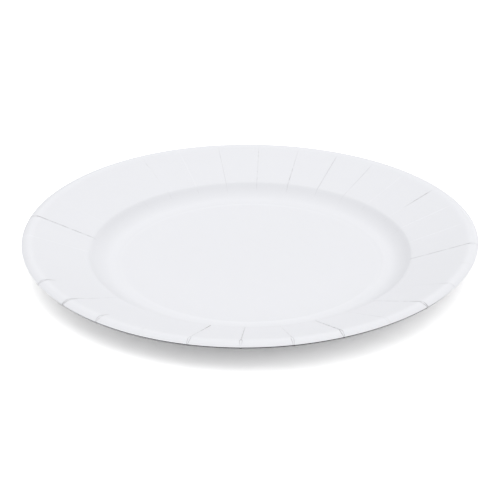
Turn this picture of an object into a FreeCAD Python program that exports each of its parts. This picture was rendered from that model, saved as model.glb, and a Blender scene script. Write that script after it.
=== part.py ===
import FreeCAD, Part
import math
import os
import Sketcher

# A round paper plate pressed from one disc of board. The plate's axis is Z, its underside rests on
# z = 0, and the origin is the middle of that underside. Lengths are millimetres, angles degrees.

# The driving sizes: name, value and meaning. The section is a chain that runs outward from the axis,
# so each size can change by itself and what lies outside it follows.
SIZES = (
    ("board_thickness", 0.5, "thickness of the board"),
    ("floor_diameter", 131.0, "flat floor inside the pressed ring"),
    ("ring_width", 2.2, "width of the small step that rings the floor"),
    ("ring_height", 0.35, "rise of that step"),
    ("well_radius", 19.0, "radius of the bend from the floor up to the wall"),
    ("wall_angle", 40.0, "slope of the wall at its steepest"),
    ("wall_length", 1.7, "straight part of the wall"),
    ("shoulder_radius", 3.0, "radius of the bend from the wall to the flange"),
    ("flange_angle", 20.0, "slope of the flange"),
    ("flange_length", 29.14, "straight part of the flange, along its slope"),
    ("roll_radius", 5.6, "radius of the rolled rim"),
    ("lip_angle", 40.0, "slope of the lip where the board ends, downward"),
    ("pleat_count", 30.0, "number of pleats round the rim"),
    ("pleat_angle", 0.6, "width of a pleat, as an angle about the axis"),
    ("pleat_depth", 0.2, "how far a pleat is pressed below the faces beside it"),
    ("pleat_reach", 1.2, "how far a pleat reaches down the wall"),
    ("pleat_turn", -8.54, "turn of the first pleat about the axis, from +X"),
)

# Each bend is a run of straight facets with their ends on the true arc. These counts keep every facet
# within 0.1 mm of its arc.
WELL_FACETS = 5
SHOULDER_FACETS = 1
ROLL_FACETS = 3

# How far a pleat's cut reaches above the board and past its cut edge.
CUT_MARGIN = 1.0
# How far a pleat's ridge reaches up into the board, so that the two join.
RIDGE_OVERLAP = 0.1


class Size:
    """A length, an angle or a ratio: its value now, and the expression that ties it to the sheet."""

    def __init__(self, value, text):
        self.value = value
        self.text = text

    def __add__(self, other):
        return Size(self.value + other.value, f"({self.text} + {other.text})")

    def __sub__(self, other):
        return Size(self.value - other.value, f"({self.text} - {other.text})")

    def __mul__(self, other):
        return Size(self.value * other.value, f"{self.text} * {other.text}")

    def __neg__(self):
        return Size(-self.value, f"(-{self.text})")

    def sine(self):
        return Size(math.sin(math.radians(self.value)), f"sin({self.text} * 1 deg)")

    def cosine(self):
        return Size(math.cos(math.radians(self.value)), f"cos({self.text} * 1 deg)")


def fixed(value):
    """A number that stays as it is."""
    return Size(value, f"({value})")


def make_sheet(document):
    """The sheet of driving sizes."""
    sheet = document.addObject("Spreadsheet::Sheet", "sizes")
    for row, (name, value, meaning) in enumerate(SIZES, start=1):
        sheet.set(f"A{row}", name)
        sheet.set(f"B{row}", str(value))
        sheet.setAlias(f"B{row}", name)
        sheet.set(f"C{row}", meaning)
    document.recompute()
    return sheet


def bend(radius, first, last, facets):
    """The slope and length of each facet of a bend that turns from one slope to another."""
    turn = last - first
    length = fixed(2.0) * radius * (turn * fixed(0.5 / facets)).sine()
    if turn.value < 0:
        length = -length
    return [(first + turn * fixed((step + 0.5) / facets), length) for step in range(facets)]


def rim_run(size, offset):
    """The shoulder, the flange and the roll, as slopes and lengths, on a face above the upper one."""
    shoulder = bend(
        size["shoulder_radius"] + offset, size["wall_angle"], size["flange_angle"], SHOULDER_FACETS
    )
    roll = bend(size["roll_radius"] + offset, size["flange_angle"], -size["lip_angle"], ROLL_FACETS)
    return shoulder + [(size["flange_angle"], size["flange_length"])] + roll


def well_run(size, offset):
    """The well's bend and the wall, as slopes and lengths, on a face above the upper one."""
    well = bend(size["well_radius"] - offset, fixed(0.0), size["wall_angle"], WELL_FACETS)
    return well + [(size["wall_angle"], size["wall_length"])]


def shoulder_place(size):
    """The point of the upper face where the wall meets the shoulder's bend."""
    wall = size["wall_angle"]
    along = size["wall_length"]
    x = size["floor_diameter"] * fixed(0.5) + size["ring_width"] + size["well_radius"] * wall.sine()
    y = size["board_thickness"] + size["ring_height"] + size["well_radius"]
    return x + along * wall.cosine(), y - size["well_radius"] * wall.cosine() + along * wall.sine()


def join(sketch, kind, *places):
    """Adds a constraint that has no value."""
    sketch.addConstraint(Sketcher.Constraint(kind, *places))


def bind(sketch, size, kind, *places):
    """Adds a constraint whose value is tied to the sheet."""
    angle = kind == "Angle"
    value = math.radians(size.value) if angle else size.value
    index = sketch.addConstraint(Sketcher.Constraint(kind, *places, value))
    sketch.setExpression(f"Constraints[{index}]", f"{size.text} * 1 deg" if angle else size.text)


def add_run(sketch, start, run):
    """Straight lines end to end, each with its slope and length. Gives the first and last line."""
    lines = []
    for slope, length in run:
        turn = math.radians(slope.value)
        end = start + FreeCAD.Vector(math.cos(turn), math.sin(turn), 0) * length.value
        line = sketch.addGeometry(Part.LineSegment(start, end))
        if lines:
            join(sketch, "Coincident", lines[-1], 2, line, 1)
        bind(sketch, slope, "Angle", line)
        bind(sketch, length, "Distance", line)
        lines.append(line)
        start = end
    return lines[0], lines[-1]


def add_line(sketch, first, last):
    """A straight line between the ends of two others."""
    line = sketch.addGeometry(Part.LineSegment(sketch.getPoint(*first), sketch.getPoint(*last)))
    join(sketch, "Coincident", line, 1, *first)
    join(sketch, "Coincident", line, 2, *last)
    return line


def new_sketch(body, name):
    """An empty sketch on the upright plane through the axis."""
    sketch = body.newObject("Sketcher::SketchObject", name)
    plane = next(item for item in body.Origin.OriginFeatures if item.Role == "XZ_Plane")
    sketch.AttachmentSupport = (plane, [""])
    sketch.MapMode = "FlatFace"
    return sketch


def draw_board(body, size):
    """The section of the board: floor, ring, well, wall, shoulder, flange and rolled rim."""
    sketch = new_sketch(body, "board_section")
    thickness = size["board_thickness"]
    axis_foot = FreeCAD.Vector(0, 0, 0)
    axis_top = FreeCAD.Vector(0, thickness.value, 0)
    floor = FreeCAD.Vector(size["floor_diameter"].value / 2, 0, 0)
    ring = FreeCAD.Vector(size["ring_width"].value, size["ring_height"].value, 0)
    axis = sketch.addGeometry(Part.LineSegment(axis_foot, axis_top))
    join(sketch, "Coincident", axis, 1, -1, 1)
    join(sketch, "PointOnObject", axis, 2, -2)
    bind(sketch, thickness, "DistanceY", axis, 1, axis, 2)
    lips = []
    for offset, axis_point, axis_end in ((fixed(0.0), axis_top, 2), (-thickness, axis_foot, 1)):
        floor_line = sketch.addGeometry(Part.LineSegment(axis_point, axis_point + floor))
        join(sketch, "Coincident", floor_line, 1, axis, axis_end)
        join(sketch, "Horizontal", floor_line)
        bind(sketch, size["floor_diameter"] * fixed(0.5), "Distance", floor_line)
        edge = axis_point + floor
        ring_line = sketch.addGeometry(Part.LineSegment(edge, edge + ring))
        join(sketch, "Coincident", floor_line, 2, ring_line, 1)
        bind(sketch, size["ring_width"], "DistanceX", ring_line, 1, ring_line, 2)
        bind(sketch, size["ring_height"], "DistanceY", ring_line, 1, ring_line, 2)
        first, last = add_run(sketch, edge + ring, well_run(size, offset) + rim_run(size, offset))
        join(sketch, "Coincident", ring_line, 2, first, 1)
        lips.append(last)
    add_line(sketch, (lips[0], 2), (lips[1], 2))
    return sketch


def draw_pleat(body, size, name, upper, lower, past_lip):
    """A band along the section from the wall's top to the lip, between two offsets."""
    sketch = new_sketch(body, name)
    wall = size["wall_angle"]
    place_x, place_y = shoulder_place(size)
    reach = size["pleat_reach"]
    ends = []
    for offset in (upper, lower):
        x = place_x - offset * wall.sine() - reach * wall.cosine()
        y = place_y + offset * wall.cosine() - reach * wall.sine()
        run = [(wall, reach)] + rim_run(size, offset) + past_lip
        first, last = add_run(sketch, FreeCAD.Vector(x.value, y.value, 0), run)
        bind(sketch, x, "DistanceX", -1, 1, first, 1)
        bind(sketch, y, "DistanceY", -1, 1, first, 1)
        ends.append((first, last))
    add_line(sketch, (ends[0][0], 1), (ends[1][0], 1))
    add_line(sketch, (ends[0][1], 2), (ends[1][1], 2))
    return sketch


def turn_pleat(body, kind, name, sketch, size):
    """A feature turned about the plate's axis through a pleat's angle, centred on its sketch."""
    feature = body.newObject(kind, name)
    feature.Profile = sketch
    feature.ReferenceAxis = (sketch, ["V_Axis"])
    feature.Midplane = True
    feature.setExpression("Angle", f"{size['pleat_angle'].text} * 1 deg")
    return feature


def build_plate(document, sheet):
    """The pressed board, then one pleat as a cut above and a ridge below, repeated round the rim."""
    size = {name: Size(float(sheet.get(name)), f"sizes.{name}") for name, _, _ in SIZES}
    body = document.addObject("PartDesign::Body", "plate")
    body.Label = "plate"
    section = draw_board(body, size)
    board = body.newObject("PartDesign::Revolution", "board")
    board.Profile = section
    board.ReferenceAxis = (section, ["V_Axis"])
    board.Angle = 360.0
    depth = size["pleat_depth"]
    under = -size["board_thickness"]
    past_lip = [(-size["lip_angle"], fixed(CUT_MARGIN))]
    above = draw_pleat(body, size, "pleat_cut_section", fixed(CUT_MARGIN), -depth, past_lip)
    cut = turn_pleat(body, "PartDesign::Groove", "pleat_cut", above, size)
    overlap = under + fixed(RIDGE_OVERLAP)
    below = draw_pleat(body, size, "pleat_ridge_section", overlap, under - depth, [])
    ridge = turn_pleat(body, "PartDesign::Revolution", "pleat_ridge", below, size)
    pleats = body.newObject("PartDesign::PolarPattern", "pleats")
    pleats.Originals = [cut, ridge]
    pleats.Axis = (section, ["V_Axis"])
    pleats.Angle = 360.0
    pleats.setExpression("Occurrences", size["pleat_count"].text)
    body.Tip = pleats
    turned = FreeCAD.Rotation(FreeCAD.Vector(0, 0, 1), size["pleat_turn"].value)
    body.Placement = FreeCAD.Placement(FreeCAD.Vector(0, 0, 0), turned)
    return body


def check(document, bodies):
    """Stops before anything is written if an object failed or a shape is unsound."""
    for item in document.Objects:
        if {"Invalid", "Error"} & set(item.State):
            raise RuntimeError(f"{item.Name} failed: {item.State}")
    for body in bodies:
        if body.Shape.isNull() or not body.Shape.isValid() or len(body.Shape.Solids) != 1:
            raise RuntimeError(f"{body.Label} is not one sound solid")


def write(bodies):
    """One file for each body, and a line on its size."""
    os.makedirs("parts", exist_ok=True)
    for body in bodies:
        body.Shape.exportStep(f"parts/{body.Label}.step")
        box = body.Shape.BoundBox
        extent = f"{box.XLength:.2f} x {box.YLength:.2f} x {box.ZLength:.2f} mm"
        print(f"{body.Label}: {extent}, {body.Shape.Volume:.0f} mm3, {len(body.Shape.Faces)} faces")


document = FreeCAD.newDocument("paper_plate")
plate = build_plate(document, make_sheet(document))
document.recompute()
check(document, [plate])
write([plate])
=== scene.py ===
import math

import bmesh
import bpy
from mathutils import Matrix, Quaternion, Vector


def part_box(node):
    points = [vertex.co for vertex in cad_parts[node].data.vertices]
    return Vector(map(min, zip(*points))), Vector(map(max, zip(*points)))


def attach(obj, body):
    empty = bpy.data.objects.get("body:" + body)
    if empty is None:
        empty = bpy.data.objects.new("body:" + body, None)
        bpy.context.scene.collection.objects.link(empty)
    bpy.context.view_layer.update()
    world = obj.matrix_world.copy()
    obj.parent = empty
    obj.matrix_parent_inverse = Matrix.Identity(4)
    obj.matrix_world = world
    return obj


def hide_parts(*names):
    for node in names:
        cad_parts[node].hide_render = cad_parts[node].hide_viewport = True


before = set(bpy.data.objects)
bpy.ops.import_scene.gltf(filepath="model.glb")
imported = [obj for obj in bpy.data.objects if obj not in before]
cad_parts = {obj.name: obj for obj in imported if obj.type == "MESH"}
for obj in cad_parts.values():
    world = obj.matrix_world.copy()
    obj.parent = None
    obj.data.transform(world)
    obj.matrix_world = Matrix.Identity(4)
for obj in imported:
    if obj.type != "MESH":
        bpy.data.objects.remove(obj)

bl_info = {
    "name": "Pressed paper plate",
    "version": (1, 0, 0),
    "blender": (4, 5, 0),
    "location": "View3D > Sidebar > Plate",
    "description": "A round plate pressed from coated board, with a pleated rim, and its studio",
    "category": "Add Mesh",
}

# The plate's axis is Z and its underside rests on z = 0. The pleats are counted from +X, anticlockwise.
# Lengths are metres. The rim reaches the frame's radius and height.
LOWEST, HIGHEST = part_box("plate")
RIM_RADIUS = (HIGHEST.x - LOWEST.x) / 2
RIM_HEIGHT = HIGHEST.z

MILLIMETRE = 0.001
TOO_SMALL = 1e-7

# Rows of the mesh along each stretch of the section.
FLOOR_ROWS = 4
RING_ROWS = 3
WELL_ROWS = 12
SHOULDER_ROWS = 5
FLANGE_ROWS = 12
ROLL_ROWS = 12

# Columns of the mesh in one pleat's sector. The columns up to FOLD_COLUMNS from its middle draw the folds,
# and the others lie further apart the further they are from it.
SECTOR_COLUMNS = 20
FOLD_COLUMNS = 3
COLUMN_SPREAD = 1.7

# How hard each pleat shows, in its depth and its painted shade, on the wall, on the inner and the outer
# part of the flange, and on the lip. A pleat below 0 stands a little proud and gets painted light instead
# of painted shade. The last two numbers are how far it strays from its even place at the shoulder and at
# the lip, in millimetres, anticlockwise.
PLEATS = (
    (0.0, 0.6, 0.6, 0.8, -0.5, -0.4),
    (0.1, -0.6, -0.6, 0.0, 1.0, 0.5),
    (0.1, -0.6, -0.7, 0.0, 0.9, 0.3),
    (0.12, -0.3, 0.9, 0.0, -1.4, -1.2),
    (0.12, -0.35, -0.35, 0.0, 0.6, 0.6),
    (0.12, 0.12, 0.25, 0.05, -0.1, -0.4),
    (0.12, 0.25, 0.3, 0.0, -0.7, -0.4),
    (0.14, 0.38, 0.15, 0.0, -0.6, -0.2),
    (0.12, 0.25, 0.22, 0.0, -0.3, -0.5),
    (0.12, 0.15, 0.18, 0.0, -0.4, -0.4),
    (0.1, -0.3, -0.3, -0.1, -0.6, -0.5),
    (0.1, 0.0, 0.15, 0.0, -0.8, -0.7),
    (0.05, 0.0, 0.0, 0.0, -1.0, -1.0),
    (0.0, 0.0, 0.0, 0.0, -1.3, -1.0),
    (0.0, -0.2, -0.1, 0.0, -1.4, -1.2),
    (0.0, 0.7, 0.85, 0.9, -0.9, -0.6),
    (0.0, -0.4, -0.4, -0.5, -1.6, -1.0),
    (0.0, 0.0, 0.0, 0.1, 0.0, 0.0),
    (0.0, 0.0, 0.0, 0.9, 0.3, 1.5),
    (0.0, 0.12, 0.4, 1.8, 0.2, 1.7),
    (0.0, 0.0, 0.0, 0.7, 0.5, 1.0),
    (0.0, 0.0, 0.0, 0.1, 0.8, 0.8),
    (0.0, 1.0, 0.2, 0.5, 2.4, 0.6),
    (0.1, 0.5, 0.5, 0.6, 1.2, 0.6),
    (0.0, 0.1, 0.2, 0.5, 0.2, 0.4),
    (0.1, 0.6, 1.0, 1.0, 0.5, 0.0),
    (0.1, 0.1, 0.2, 0.2, 1.1, 0.0),
    (0.1, 0.2, 0.55, 1.4, 0.7, 0.2),
    (0.1, 0.0, 0.1, 0.3, 0.5, 0.0),
    (0.0, 0.0, 0.0, 0.1, 0.5, 0.5),
)
SECTOR = math.tau / len(PLEATS)

# Where a pleat's strength passes over to the next of its four, from the shoulder (0) to the lip (1).
STRENGTH_CHANGES = ((0.02, 0.08), (0.2, 0.65), (0.72, 0.83))

# How deep the strip between a pleat's two fold lines lies on the flange, against the lines themselves, and
# how far the lines draw together again at the lip.
STRIP_DEPTH = 0.6
LIP_CLOSING = 0.8

# How much deeper a pleat is pressed than its painted shade is dark, and how proud a pleat with painted
# light stands at most.
EXTRA_DEPTH = 0.15
MOST_PROUD = 0.4

# A face near the lip is part of the cut edge where its normal lies along the board, with at least this
# cosine. Edges as sharp as SHARP_EDGE aren't shaded smooth.
CUT_FACING = 0.8
SHARP_EDGE = math.radians(60)

# The materials' places on the mesh.
COATED, UNCOATED, CUT = range(3)

# Painted light and shade on the coated face, as a tone against its own colour by distance from the axis in
# millimetres: a painted highlight where the well bends up from the ring, painted shade at the top of the
# wall, and painted highlights on the roll and the lip.
PAINTED_TONES_BY_RADIUS = (
    (67.0, 1.0),
    (71.5, 1.02),
    (74.5, 1.0),
    (78.0, 0.982),
    (80.3, 0.972),
    (81.5, 0.982),
    (82.8, 1.012),
    (108.6, 1.012),
    (110.0, 1.028),
    (113.0, 1.022),
    (114.7, 1.045),
)
TONE_LOW = 0.9
TONE_HIGH = 1.1

# Painted highlights at the ring round the floor: a bright line and a broad glint, each with its middle and
# half its width. The line's painted light is even all round, with more on the far and the near side. The
# glint is on the near side only.
PAINTED_RING_LINE = (0.0663, 0.0009)
PAINTED_RING_LINE_LIGHT = (0.01, 0.022)
PAINTED_RING_GLINT = (0.0672, 0.0023)
PAINTED_RING_GLINT_LIGHT = 0.042

# The coated face: how much its clouds and fibres change its tone, how much painted light a proud pleat
# gets, how much the fibres change its roughness, and what fibres and tooth add to its relief.
GRAIN_TONE = 0.012
PROUD_PAINTED_LIGHT = 0.2
COAT_ROUGHNESS = 0.42
COAT_ROUGHNESS_SPREAD = 0.12
FIBRE_RELIEF = 0.7
TOOTH_RELIEF = 0.3

# The painted shade along the fold lines fades in patches. FADE_SHARE of a line is left where the patches
# are at FADE_LEVEL. The last number scales that painted shade.
FADE_LEVEL = 0.42
FADE_CONTRAST = 3.5
FADE_SHARE = 0.5
FOLD_PAINTED_SHADE = 1.25

# The uncoated face: its share of bright fibres, and how much its fibres and clouds change that share.
BRIGHT_SHARE = 0.25
BRIGHT_BY_FIBRES = 0.30
BRIGHT_BY_CLOUDS = 0.25

# How light the plies make the cut edge.
PLY_LIGHT = 0.3

# Noise runs from 0 to 1 about this middle. The fibres run at an angle to X.
NOISE_MIDDLE = 0.5
FIBRE_TURN = 0.6

# The sockets that the Mix node has for colours.
MIX_FIRST = 6
MIX_SECOND = 7
MIX_RESULT = 2

# The floor is a round sheet just under the plate. It is brighter to the camera than to the light, so that
# it looks white and keeps the plate's shadow.
FLOOR_RADIUS = 4.0
FLOOR_SIDES = 64
FLOOR_GAP = 0.00005
FLOOR_GREY = 0.7
FLOOR_SEEN = 1.95
WHITE = (1.0, 1.0, 1.0)

# Each lamp's name, its bearing from +X, its height above the horizon and how wide it looks, all in degrees,
# and its share of the light on a level face.
LAMPS = (
    ("top_lamp", 0, 90, 75, 0.285),
    ("front_lamp", 315, 40, 40, 0.072),
    ("left_lamp", 180, 40, 40, 0.046),
    ("back_lamp", 90, 40, 40, 0.04),
    ("far_lamp", 60, 12, 30, 0.012),
)

SENSOR_MILLIMETRES = 36.0


class PlateSizes(bpy.types.PropertyGroup):
    """The section of the plate and its pleats."""

    board_thickness: bpy.props.FloatProperty(
        name="Board thickness", description="Thickness of the board", default=0.0005, unit="LENGTH"
    )
    floor_diameter: bpy.props.FloatProperty(
        name="Floor diameter", description="Flat floor inside the ring", default=0.131, unit="LENGTH"
    )
    ring_width: bpy.props.FloatProperty(
        name="Ring width", description="Width of the step round the floor", default=0.0022, unit="LENGTH"
    )
    ring_height: bpy.props.FloatProperty(
        name="Ring height", description="Rise of that step", default=0.00035, unit="LENGTH"
    )
    well_radius: bpy.props.FloatProperty(
        name="Well radius", description="Bend from the floor to the wall", default=0.019, unit="LENGTH"
    )
    wall_angle: bpy.props.FloatProperty(
        name="Wall angle", description="Steepest slope", default=math.radians(40), subtype="ANGLE"
    )
    shoulder_radius: bpy.props.FloatProperty(
        name="Shoulder radius", description="Bend from the wall to the flange", default=0.003,
        unit="LENGTH",
    )
    flange_angle: bpy.props.FloatProperty(
        name="Flange angle", description="Slope of the flange", default=math.radians(20),
        subtype="ANGLE",
    )
    roll_radius: bpy.props.FloatProperty(
        name="Roll radius", description="Radius of the rolled rim", default=0.0056, unit="LENGTH"
    )
    lip_angle: bpy.props.FloatProperty(
        name="Lip angle", description="Downward slope at the cut edge", default=math.radians(40),
        subtype="ANGLE",
    )
    pleat_turn: bpy.props.FloatProperty(
        name="Pleat turn", description="Turn of the first pleat from +X", default=math.radians(-8.54),
        subtype="ANGLE",
    )
    pleat_depth: bpy.props.FloatProperty(
        name="Pleat depth", description="Depth of the strongest folds", default=0.00018, unit="LENGTH"
    )
    fold_width: bpy.props.FloatProperty(
        name="Fold width", description="Half the width of one fold line", default=0.00017, unit="LENGTH"
    )
    pinch: bpy.props.FloatProperty(
        name="Pinch", description="Strip between a pleat's two folds on the flange", default=0.00022,
        unit="LENGTH",
    )
    lip_strip: bpy.props.FloatProperty(
        name="Lip strip", description="Strip between a pleat's two folds on the roll", default=0.00115,
        unit="LENGTH",
    )
    pleat_foot: bpy.props.FloatProperty(
        name="Pleat foot", description="Radius where the pleats fade out on the wall", default=0.0765,
        unit="LENGTH",
    )
    edge_burr: bpy.props.FloatProperty(
        name="Edge burr", description="Swelling of the cut edge on its lower side", default=0.0006,
        unit="LENGTH",
    )
    rim_warp: bpy.props.FloatProperty(
        name="Rim warp", description="Rise and fall of the lip, twice round the plate", default=0.00075,
        unit="LENGTH",
    )
    warp_turn: bpy.props.FloatProperty(
        name="Warp turn", description="Where the warp is highest", default=math.radians(-26.0),
        subtype="ANGLE",
    )
    rim_tilt: bpy.props.FloatProperty(
        name="Rim tilt", description="Rise of the lip on one side and fall on the other",
        default=0.00022, unit="LENGTH",
    )
    tilt_turn: bpy.props.FloatProperty(
        name="Tilt turn", description="The side that the tilt raises", default=math.radians(75.0),
        subtype="ANGLE",
    )
    rim_sag: bpy.props.FloatProperty(
        name="Rim sag", description="Fall of the whole lip", default=0.00028, unit="LENGTH"
    )


class PlateColours(bpy.types.PropertyGroup):
    """The colours of the board, with the painted shade of its folds and its cut edge."""

    board: bpy.props.FloatVectorProperty(
        name="Board", description="Coated upper face", subtype="COLOR", size=3,
        default=(0.865, 0.872, 0.905),
    )
    # The fold colour is painted shade at the bottom of the fold lines.
    fold: bpy.props.FloatVectorProperty(
        name="Fold", description="Shaded bottom of a fold", subtype="COLOR", size=3,
        default=(0.25, 0.235, 0.245),
    )
    bright: bpy.props.FloatVectorProperty(
        name="Bright", description="Bright fibres of the lower face", subtype="COLOR", size=3,
        default=(0.93, 0.935, 0.95),
    )
    underside: bpy.props.FloatVectorProperty(
        name="Underside", description="Uncoated lower face", subtype="COLOR", size=3,
        default=(0.80, 0.80, 0.81),
    )
    # The cut edge's near-black colour is painted shade for the edge and the gap under it in shadow.
    cut_edge_shade: bpy.props.FloatVectorProperty(
        name="Cut edge", description="Core of the board", subtype="COLOR", size=3,
        default=(0.02, 0.023, 0.025),
    )


class StudioSettings(bpy.types.PropertyGroup):
    """The camera and the light."""

    camera_distance: bpy.props.FloatProperty(
        name="Camera distance", description="From the middle of the plate", default=0.829, unit="LENGTH"
    )
    camera_elevation: bpy.props.FloatProperty(
        name="Camera elevation", description="Above the horizon", default=math.radians(26.93),
        subtype="ANGLE",
    )
    camera_roll: bpy.props.FloatProperty(
        name="Camera roll", description="Clockwise turn", default=math.radians(0.27), subtype="ANGLE"
    )
    aim_height: bpy.props.FloatProperty(
        name="Aim height", description="Point on the axis that the camera faces", default=0.0058,
        unit="LENGTH",
    )
    lens: bpy.props.FloatProperty(
        name="Lens", description="Focal length in millimetres", default=116.77
    )
    sky: bpy.props.FloatProperty(
        name="Sky", description="Strength of the even light from all round", default=0.527
    )


class Field:
    """A node's output that takes part in sums, so that shader maths reads as plain expressions."""

    def __init__(self, recipe, socket):
        self.recipe = recipe
        self.socket = socket

    def beside(self, output):
        """Another output of the same node, by its name."""
        return Field(self.recipe, self.socket.node.outputs[output])

    def math(self, operation, *others):
        values = dict(enumerate((self,) + others))
        return self.recipe.add("ShaderNodeMath", {"operation": operation}, values)

    def __add__(self, other):
        return self.math("ADD", other)

    __radd__ = __add__

    def __mul__(self, other):
        return self.math("MULTIPLY", other)

    def __sub__(self, other):
        return self.math("SUBTRACT", other)

    def __rsub__(self, other):
        return (self * -1.0) + other

    def __truediv__(self, other):
        return self.math("DIVIDE", other)

    def __pow__(self, other):
        return self.math("POWER", other)

    def clamped(self):
        """The value held between 0 and 1."""
        return self.math("MINIMUM", 1.0).math("MAXIMUM", 0.0)

    def hump(self, middle, half_width):
        """1 at the middle, falling to 0 at half the width on both sides."""
        return (1.0 - ((self - middle) / half_width).math("ABSOLUTE")).clamped()


class Recipe:
    """A material's nodes. One method adds every node."""

    def __init__(self, tree):
        self.tree = tree
        tree.nodes.clear()

    def add(self, kind, settings=None, values=None, output=0):
        node = self.tree.nodes.new(kind)
        for name, setting in (settings or {}).items():
            if name == "stops":
                self.set_stops(node.color_ramp.elements, setting)
            else:
                setattr(node, name, setting)
        for place, value in (values or {}).items():
            socket = node.inputs[place]
            if isinstance(value, Field):
                self.tree.links.new(value.socket, socket)
            else:
                socket.default_value = value
        return Field(self, node.outputs[output]) if node.outputs else None

    def set_stops(self, elements, stops):
        """Gives a ramp its stops, each a place from 0 to 1 and a grey."""
        while len(elements) < len(stops):
            elements.new(0.5)
        for element, (place, grey) in zip(elements, sorted(stops)):
            element.position = place
            element.color = (grey, grey, grey, 1.0)

    def place(self):
        """The point on the object that is shaded."""
        return self.add("ShaderNodeTexCoord", output="Object")

    def camera_ray(self):
        """1 where the camera looks straight at the point, and 0 for the light that reaches it."""
        return self.add("ShaderNodeLightPath", output="Is Camera Ray")

    def mix(self, factor, first, second):
        """A colour part of the way from the first to the second."""
        values = {0: factor, MIX_FIRST: first, MIX_SECOND: second}
        return self.add("ShaderNodeMix", {"data_type": "RGBA"}, values, MIX_RESULT)

    def scale(self, colour, factor):
        """A colour made lighter or darker."""
        return self.add("ShaderNodeVectorMath", {"operation": "SCALE"}, {0: colour, "Scale": factor})

    def noise(self, place, scale, detail, stretch=(1.0, 1.0, 1.0), turn=0.0):
        """Cloudy noise from 0 to 1 with the grain stretched along a turned axis."""
        laid = self.add(
            "ShaderNodeMapping", None, {"Vector": place, "Rotation": (0.0, 0.0, turn), "Scale": stretch}
        )
        return self.add("ShaderNodeTexNoise", None, {"Vector": laid, "Scale": scale, "Detail": detail})

    def finish(self, shader, kind="ShaderNodeOutputMaterial"):
        self.add(kind, None, {"Surface": shader})

    def finish_board(self, colour, roughness, grain, relief, depth, ior=1.45):
        """Ends the recipe in board whose grain stands up by a depth in metres."""
        bump = self.add("ShaderNodeBump", None, {"Strength": relief, "Distance": depth, "Height": grain})
        values = {"Base Color": colour, "Roughness": roughness, "Normal": bump, "IOR": ior}
        self.finish(self.add("ShaderNodeBsdfPrincipled", None, values))


def new_material(name):
    material = bpy.data.materials.new(name)
    material.use_nodes = True
    return material, Recipe(material.node_tree)


def opaque(colour):
    return (*colour, 1.0)


def face_tone(recipe, place, cloud, fibres):
    """How light the coated face is: painted light and shade by distance from the axis, its grain, and
    painted highlights at the ring.
    """
    across = recipe.add("ShaderNodeSeparateXYZ", None, {0: place}, "X")
    along = across.beside("Y")
    radius = (across * across + along * along) ** 0.5
    # The bands of painted light and shade by distance from the axis.
    tone_range = TONE_HIGH - TONE_LOW
    stops = [(reach * MILLIMETRE / RIM_RADIUS, (tone - TONE_LOW) / tone_range) for reach, tone in PAINTED_TONES_BY_RADIUS]
    painted_radial_tone = recipe.add("ShaderNodeValToRGB", {"stops": stops}, {0: radius / RIM_RADIUS})
    tone = TONE_LOW + painted_radial_tone * tone_range
    tone = tone + (cloud - NOISE_MIDDLE) * GRAIN_TONE + (fibres - NOISE_MIDDLE) * GRAIN_TONE
    # Painted highlights at the ring: stronger on the far and the near side along the line, and the glint on
    # the near side only.
    farness = along / (radius + TOO_SMALL)
    painted_even_light, painted_end_light = PAINTED_RING_LINE_LIGHT
    tone = tone + radius.hump(*PAINTED_RING_LINE) * (painted_even_light + farness * farness * painted_end_light)
    return tone + radius.hump(*PAINTED_RING_GLINT) * (farness * -1.0).clamped() * PAINTED_RING_GLINT_LIGHT


def coated_board(colours):
    """Smooth coated board: faint clouds and fine fibres, painted shade along the fold lines that fades in
    patches, painted light on proud pleats, painted light and shade by distance from the axis, and painted
    highlights at the ring.
    """
    material, recipe = new_material("coated_board")
    place = recipe.place()
    crease = recipe.add("ShaderNodeAttribute", {"attribute_name": "crease"}, output="Fac")
    cloud = recipe.noise(place, scale=90.0, detail=3.0)
    patches = recipe.noise(place, scale=330.0, detail=2.0)
    fibres = recipe.noise(place, scale=1600.0, detail=4.0, stretch=(1.0, 0.35, 1.0), turn=FIBRE_TURN)
    tooth = recipe.noise(place, scale=5200.0, detail=2.0)
    # Proud pleats get painted light.
    tone = face_tone(recipe, place, cloud, fibres) + (crease * -1.0).clamped() * PROUD_PAINTED_LIGHT
    # The fold lines get painted shade, faded in patches.
    left = ((patches - FADE_LEVEL) * FADE_CONTRAST + FADE_SHARE).clamped()
    painted_fold_darkness = (crease * left * FOLD_PAINTED_SHADE).clamped()
    colour = recipe.mix(painted_fold_darkness, recipe.scale(colours.board, tone), opaque(colours.fold))
    roughness = COAT_ROUGHNESS + (fibres - NOISE_MIDDLE) * COAT_ROUGHNESS_SPREAD
    grain = fibres * FIBRE_RELIEF + tooth * TOOTH_RELIEF
    recipe.finish_board(colour, roughness, grain, relief=0.3, depth=0.00003)
    return material


def uncoated_board(colours):
    """The lower face: duller, with a coarser grain of fibres."""
    material, recipe = new_material("uncoated_board")
    place = recipe.place()
    cloud = recipe.noise(place, scale=140.0, detail=4.0)
    fibres = recipe.noise(place, scale=900.0, detail=5.0, stretch=(1.0, 0.25, 1.0), turn=FIBRE_TURN)
    by_fibres = (fibres - NOISE_MIDDLE) * BRIGHT_BY_FIBRES
    by_clouds = (cloud - NOISE_MIDDLE) * BRIGHT_BY_CLOUDS
    share = (by_fibres + by_clouds + BRIGHT_SHARE).clamped()
    colour = recipe.mix(share, opaque(colours.underside), opaque(colours.bright))
    recipe.finish_board(colour, roughness=0.78, grain=fibres, relief=0.5, depth=0.00005)
    return material


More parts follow.
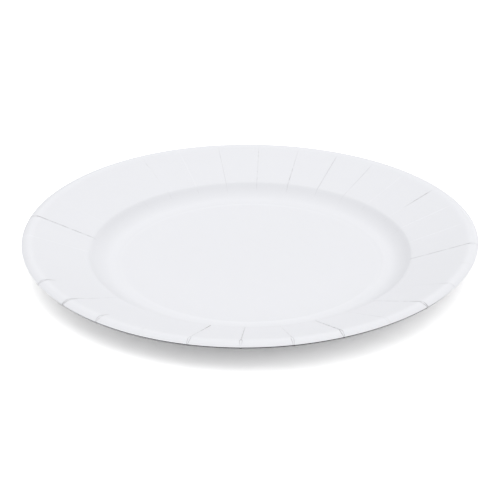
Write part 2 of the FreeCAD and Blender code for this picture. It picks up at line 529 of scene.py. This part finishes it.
def cut_board_painted_shade(colours):
    """The cut edge: near black, painted shade for the edge and the gap under it in shadow, with thin
    lighter plies.
    """
    material, recipe = new_material("cut_board_painted_shade")
    plies = recipe.noise(recipe.place(), scale=1500.0, detail=3.0, stretch=(1.0, 1.0, 4.0))
    share = (plies - NOISE_MIDDLE).clamped() * PLY_LIGHT
    colour = recipe.mix(share, opaque(colours.cut_edge_shade), opaque(colours.underside))
    recipe.finish_board(colour, roughness=0.85, grain=plies, relief=0.5, depth=0.00005, ior=1.5)
    return material


def slope_direction(angle):
    """The direction of a line in the section that rises outward at an angle."""
    return Vector((math.cos(angle), 0.0, math.sin(angle)))


def slope_normal(angle):
    """The direction square to that line, on its upper side."""
    return Vector((-math.sin(angle), 0.0, math.cos(angle)))


def add_straight(section, vertex, step, rows=1):
    """Draws the section on by a straight line. Gives its far end."""
    for _ in range(rows):
        vertex = bmesh.ops.extrude_vert_indiv(section, verts=[vertex])["verts"][0]
        bmesh.ops.translate(section, verts=[vertex], vec=step / rows)
    return vertex


def add_bend(section, vertex, radius, first, last, rows):
    """Draws the section on by an arc that turns from one slope to another. Gives its far end."""
    side = 1.0 if last > first else -1.0
    made = bmesh.ops.spin(
        section,
        geom=[vertex],
        cent=vertex.co + slope_normal(first) * radius * side,
        axis=(0.0, -1.0, 0.0),
        angle=last - first,
        steps=rows,
        use_merge=False,
    )
    return made["geom_last"][0]


def straight_lengths(size):
    """The lengths of the wall and the flange that bring the rim to the frame's radius and height."""
    wall = slope_direction(size.wall_angle)
    flange = slope_direction(size.flange_angle)
    ring_top = size.board_thickness + size.ring_height
    start = Vector((size.floor_diameter / 2 + size.ring_width, 0.0, ring_top))
    well = slope_normal(0.0) - slope_normal(size.wall_angle)
    shoulder = slope_normal(size.flange_angle) - slope_normal(size.wall_angle)
    bends = start + well * size.well_radius + shoulder * size.shoulder_radius
    roll_width = size.roll_radius * (math.sin(size.flange_angle) + math.sin(size.lip_angle))
    roll_height = size.roll_radius * (1.0 - math.cos(size.flange_angle))
    out = RIM_RADIUS - bends.x - roll_width
    up = RIM_HEIGHT - bends.z - roll_height
    spread = wall.x * flange.z - wall.z * flange.x
    wall_length = (out * flange.z - up * flange.x) / spread
    flange_length = (wall.x * up - wall.z * out) / spread
    return wall_length, flange_length


def draw_section(size):
    """The upper face's section, from the axis to the lip."""
    wall_length, flange_length = straight_lengths(size)
    wall, flange = size.wall_angle, size.flange_angle
    section = bmesh.new()
    tip = section.verts.new((0.0, 0.0, size.board_thickness))
    tip = add_straight(section, tip, Vector((size.floor_diameter / 2, 0.0, 0.0)), FLOOR_ROWS)
    tip = add_straight(section, tip, Vector((size.ring_width, 0.0, size.ring_height)), RING_ROWS)
    tip = add_bend(section, tip, size.well_radius, 0.0, wall, WELL_ROWS)
    tip = add_straight(section, tip, slope_direction(wall) * wall_length)
    tip = add_bend(section, tip, size.shoulder_radius, wall, flange, SHOULDER_ROWS)
    tip = add_straight(section, tip, slope_direction(flange) * flange_length, FLANGE_ROWS)
    add_bend(section, tip, size.roll_radius, flange, -size.lip_angle, ROLL_ROWS)
    return section


def between(value, low, high):
    """0 below low, 1 above high, and even between them."""
    return min(1.0, max(0.0, (value - low) / (high - low)))


def shoulder_reach(size):
    """The distance from the axis at which the wall ends and the rim begins."""
    return size.floor_diameter / 2 + size.ring_width + size.well_radius * math.sin(size.wall_angle)


def roll_reaches(size):
    """The distances from the axis at which the roll begins and at which it bends down to the lip."""
    return RIM_RADIUS - size.roll_radius, RIM_RADIUS - size.roll_radius * math.sin(size.lip_angle)


def find_column(vertex):
    """The pleat in whose sector a point lies, and its column there, counted from the pleat."""
    turn = math.atan2(vertex.co.y, vertex.co.x) / SECTOR * SECTOR_COLUMNS
    half = SECTOR_COLUMNS // 2
    index, column = divmod(round(turn) + half, SECTOR_COLUMNS)
    return index, column - half


def along_pleat(pleat, reach, shoulder):
    """How hard a pleat shows at a reach from the axis, and how far it strays there."""
    share, *targets, shoulder_stray, lip_stray = pleat
    length = RIM_RADIUS - shoulder
    for (low, high), target in zip(STRENGTH_CHANGES, targets):
        share += (target - share) * between(reach, shoulder + length * low, shoulder + length * high)
    stray = shoulder_stray + (lip_stray - shoulder_stray) * between(reach, shoulder, RIM_RADIUS)
    return share, stray * MILLIMETRE


def strip_width(size, reach):
    """The strip between a pleat's two fold lines, which opens on the roll and draws in at the lip."""
    roll_start, roll_crest = roll_reaches(size)
    closing = LIP_CLOSING * between(reach, roll_crest, RIM_RADIUS) ** 2
    opening = between(reach, roll_start, roll_crest) * (1.0 - closing)
    return size.pinch + (size.lip_strip - size.pinch) * opening


def column_side(size, rank, strip, half_sector):
    """How far from its pleat a column lies, by how many columns it is from there."""
    edge = strip / 2 + size.fold_width
    if rank <= FOLD_COLUMNS:
        return (0.0, strip / 2 - min(size.fold_width, strip / 4), strip / 2, edge)[rank]
    share = (rank - FOLD_COLUMNS) / (SECTOR_COLUMNS / 2 - FOLD_COLUMNS)
    return edge + (half_sector - edge) * share**COLUMN_SPREAD


def fold_share(size, rank, reach, shoulder):
    """How deep a column lies against the fold lines, which are deepest and fade out down the wall."""
    strip = STRIP_DEPTH * (1.0 - between(reach, *roll_reaches(size)))
    return (strip, strip, 1.0, 0.0)[min(rank, FOLD_COLUMNS)] * between(reach, size.pleat_foot, shoulder)


def lay_folds(board, size):
    """Gathers the mesh's columns at the pleats, presses the folds, and notes each point's painted shade,
    and its painted light where a pleat stands proud.
    """
    crease = board.verts.layers.float.new("crease")
    shoulder = shoulder_reach(size)
    for vertex in board.verts:
        reach = math.hypot(vertex.co.x, vertex.co.y)
        if reach < TOO_SMALL:
            continue
        index, column = find_column(vertex)
        rank = abs(column)
        share, stray = along_pleat(PLEATS[index % len(PLEATS)], reach, shoulder)
        held = max(reach, size.pleat_foot)
        half_sector = SECTOR / 2 * held
        strip = strip_width(size, reach)
        side = column_side(size, rank, strip, half_sector)
        away = 1.0 - between(side, strip / 2 + size.fold_width, half_sector)
        offset = math.copysign(side, column) + stray * away
        angle = index * SECTOR + offset / held
        vertex.co.x = reach * math.cos(angle)
        vertex.co.y = reach * math.sin(angle)
        fold = fold_share(size, rank, reach, shoulder)
        depth = min(1.0, share + EXTRA_DEPTH) if share >= 0.0 else max(-MOST_PROUD, share)
        vertex.co.z -= size.pleat_depth * fold * depth
        # This value sets the painted shade of the fold lines, and painted light where it is below 0.
        vertex[crease] = fold * share


def find_cut_faces(board, size):
    """The faces of the cut edge."""
    found = []
    lip = slope_direction(-size.lip_angle)
    for face in board.faces:
        outward = Vector((*face.calc_center_median().xy, 0.0))
        facing = outward.normalized() * lip.x + Vector((0.0, 0.0, lip.z))
        if outward.length > RIM_RADIUS - MILLIMETRE and face.normal.dot(facing) > CUT_FACING:
            found.append(face)
    return found


def swell_edge(board, size):
    """Swells the cut edge on its lower side, as the punch leaves it."""
    step = slope_normal(-size.lip_angle) * -size.edge_burr
    middle = RIM_RADIUS - size.board_thickness * math.sin(size.lip_angle) / 2
    corners = {vertex for face in find_cut_faces(board, size) for vertex in face.verts}
    for vertex in corners:
        if vertex.co.xy.length < middle:
            vertex.co += Vector((*(vertex.co.xy.normalized() * step.x), step.z))


def warp_rim(board, size):
    """Lets the rim stray from level, as pressed board does."""
    shoulder = shoulder_reach(size)
    for vertex in board.verts:
        angle = math.atan2(vertex.co.y, vertex.co.x)
        warp = size.rim_warp * math.cos(2 * (angle - size.warp_turn))
        tilt = size.rim_tilt * math.cos(angle - size.tilt_turn)
        vertex.co.z += (warp + tilt - size.rim_sag) * between(vertex.co.xy.length, shoulder, RIM_RADIUS)


def build_plate(size):
    """The board spun from its section, with its pleats, as a closed shell."""
    board = draw_section(size)
    axis_foot = (0.0, 0.0, 0.0)
    bmesh.ops.spin(
        board,
        geom=board.verts[:] + board.edges[:],
        cent=axis_foot,
        axis=(0.0, 0.0, 1.0),
        angle=math.tau,
        steps=SECTOR_COLUMNS * len(PLEATS),
        use_merge=True,
    )
    bmesh.ops.remove_doubles(board, verts=board.verts[:], dist=TOO_SMALL)
    lay_folds(board, size)
    bmesh.ops.recalc_face_normals(board, faces=board.faces[:])
    if sum(face.normal.z for face in board.faces) < 0.0:
        bmesh.ops.reverse_faces(board, faces=board.faces[:])
    turn = Matrix.Rotation(size.pleat_turn, 3, "Z")
    bmesh.ops.rotate(board, verts=board.verts[:], cent=axis_foot, matrix=turn)
    bmesh.ops.solidify(board, geom=board.faces[:], thickness=size.board_thickness)
    swell_edge(board, size)
    warp_rim(board, size)
    return board


class PLATE_OT_press_board(bpy.types.Operator):
    """Press the plate from one disc of coated board"""

    bl_idname = "plate.press_board"
    bl_label = "Pressed plate"

    def execute(self, context):
        size = context.scene.plate_sizes
        colours = context.scene.plate_colours
        board = build_plate(size)
        for face in board.faces:
            face.smooth = True
            face.material_index = COATED if face.normal.z > 0.0 else UNCOATED
        for face in find_cut_faces(board, size):
            face.material_index = CUT
        for edge in board.edges:
            edge.smooth = edge.calc_face_angle(0.0) < SHARP_EDGE
        mesh = bpy.data.meshes.new("pressed_plate")
        board.to_mesh(mesh)
        board.free()
        for material in (coated_board(colours), uncoated_board(colours), cut_board_painted_shade(colours)):
            mesh.materials.append(material)
        piece = bpy.data.objects.new("pressed_plate", mesh)
        context.scene.collection.objects.link(piece)
        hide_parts("plate")
        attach(piece, "root")
        return {"FINISHED"}


def white_floor():
    """White paper that keeps the plate's soft shadow, and is bright enough in the picture to be white."""
    material, recipe = new_material("white_floor")
    seen = recipe.camera_ray()
    paper = recipe.add("ShaderNodeBsdfDiffuse", None, {"Color": opaque((FLOOR_GREY,) * 3)})
    bright = recipe.add("ShaderNodeBsdfDiffuse", None, {"Color": opaque((FLOOR_SEEN,) * 3)})
    recipe.finish(recipe.add("ShaderNodeMixShader", None, {0: seen, 1: paper, 2: bright}))
    return material


def add_floor(scene):
    """The floor that the plate rests on."""
    ground = bmesh.new()
    bmesh.ops.create_circle(ground, cap_ends=True, segments=FLOOR_SIDES, radius=FLOOR_RADIUS)
    bmesh.ops.translate(ground, verts=ground.verts, vec=(0.0, 0.0, -FLOOR_GAP))
    mesh = bpy.data.meshes.new("floor")
    ground.to_mesh(mesh)
    ground.free()
    mesh.materials.append(white_floor())
    floor = bpy.data.objects.new("floor", mesh)
    scene.collection.objects.link(floor)


def soft_sky(scene, strength):
    """Even light from all round, which the camera sees as white."""
    world = bpy.data.worlds.new("soft_sky")
    scene.world = world
    world.use_nodes = True
    recipe = Recipe(world.node_tree)
    brightness = strength + recipe.camera_ray() * (1.0 - strength)
    light = recipe.add("ShaderNodeBackground", None, {"Color": opaque(WHITE), "Strength": brightness})
    recipe.finish(light, "ShaderNodeOutputWorld")


def add_lamp(scene, name, bearing, elevation, spread, share):
    """A soft distant lamp, by its angles in degrees and its share of a level face's light."""
    lamp = bpy.data.lights.new(name, "SUN")
    lamp.angle = math.radians(spread)
    lamp.energy = share * math.pi / math.sin(math.radians(elevation))
    turn = Quaternion((0.0, 0.0, 1.0), math.radians(bearing))
    towards = turn @ slope_direction(math.radians(elevation))
    holder = bpy.data.objects.new(name, lamp)
    holder.rotation_euler = towards.to_track_quat("Z", "Y").to_euler()
    scene.collection.objects.link(holder)


def add_camera(scene, studio):
    """The camera, on the plate's near side."""
    tilt = studio.camera_elevation
    camera = bpy.data.cameras.new("camera")
    camera.lens = studio.lens
    camera.sensor_width = SENSOR_MILLIMETRES
    holder = bpy.data.objects.new("camera", camera)
    holder.location = Vector((0.0, -math.cos(tilt), math.sin(tilt))) * studio.camera_distance
    gaze = Vector((0.0, 0.0, studio.aim_height)) - holder.location
    roll = Quaternion((0.0, 0.0, 1.0), -studio.camera_roll)
    holder.rotation_mode = "QUATERNION"
    holder.rotation_quaternion = gaze.to_track_quat("-Z", "Y") @ roll
    scene.collection.objects.link(holder)
    scene.camera = holder


class PLATE_OT_set_stage(bpy.types.Operator):
    """Set the white floor, the soft light and the camera"""

    bl_idname = "plate.set_stage"
    bl_label = "Studio"

    def execute(self, context):
        scene = context.scene
        add_floor(scene)
        soft_sky(scene, scene.plate_studio.sky)
        for lamp in LAMPS:
            add_lamp(scene, *lamp)
        add_camera(scene, scene.plate_studio)
        scene.view_settings.view_transform = "Standard"
        return {"FINISHED"}


class PLATE_PT_panel(bpy.types.Panel):
    """The plate's pieces"""

    bl_idname = "PLATE_PT_panel"
    bl_label = "Paper plate"
    bl_space_type = "VIEW_3D"
    bl_region_type = "UI"
    bl_category = "Plate"

    def draw(self, context):
        for operator in OPERATORS:
            self.layout.operator(operator.bl_idname)


OPERATORS = (PLATE_OT_press_board, PLATE_OT_set_stage)
CLASSES = (PlateSizes, PlateColours, StudioSettings, *OPERATORS, PLATE_PT_panel)


def register():
    for kind in CLASSES:
        bpy.utils.register_class(kind)
    bpy.types.Scene.plate_sizes = bpy.props.PointerProperty(type=PlateSizes)
    bpy.types.Scene.plate_colours = bpy.props.PointerProperty(type=PlateColours)
    bpy.types.Scene.plate_studio = bpy.props.PointerProperty(type=StudioSettings)


def unregister():
    del bpy.types.Scene.plate_studio
    del bpy.types.Scene.plate_colours
    del bpy.types.Scene.plate_sizes
    for kind in reversed(CLASSES):
        bpy.utils.unregister_class(kind)


def main():
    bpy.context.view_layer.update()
    register()
    bpy.ops.plate.press_board()
    bpy.ops.plate.set_stage()


if __name__ == "__main__":
    main()
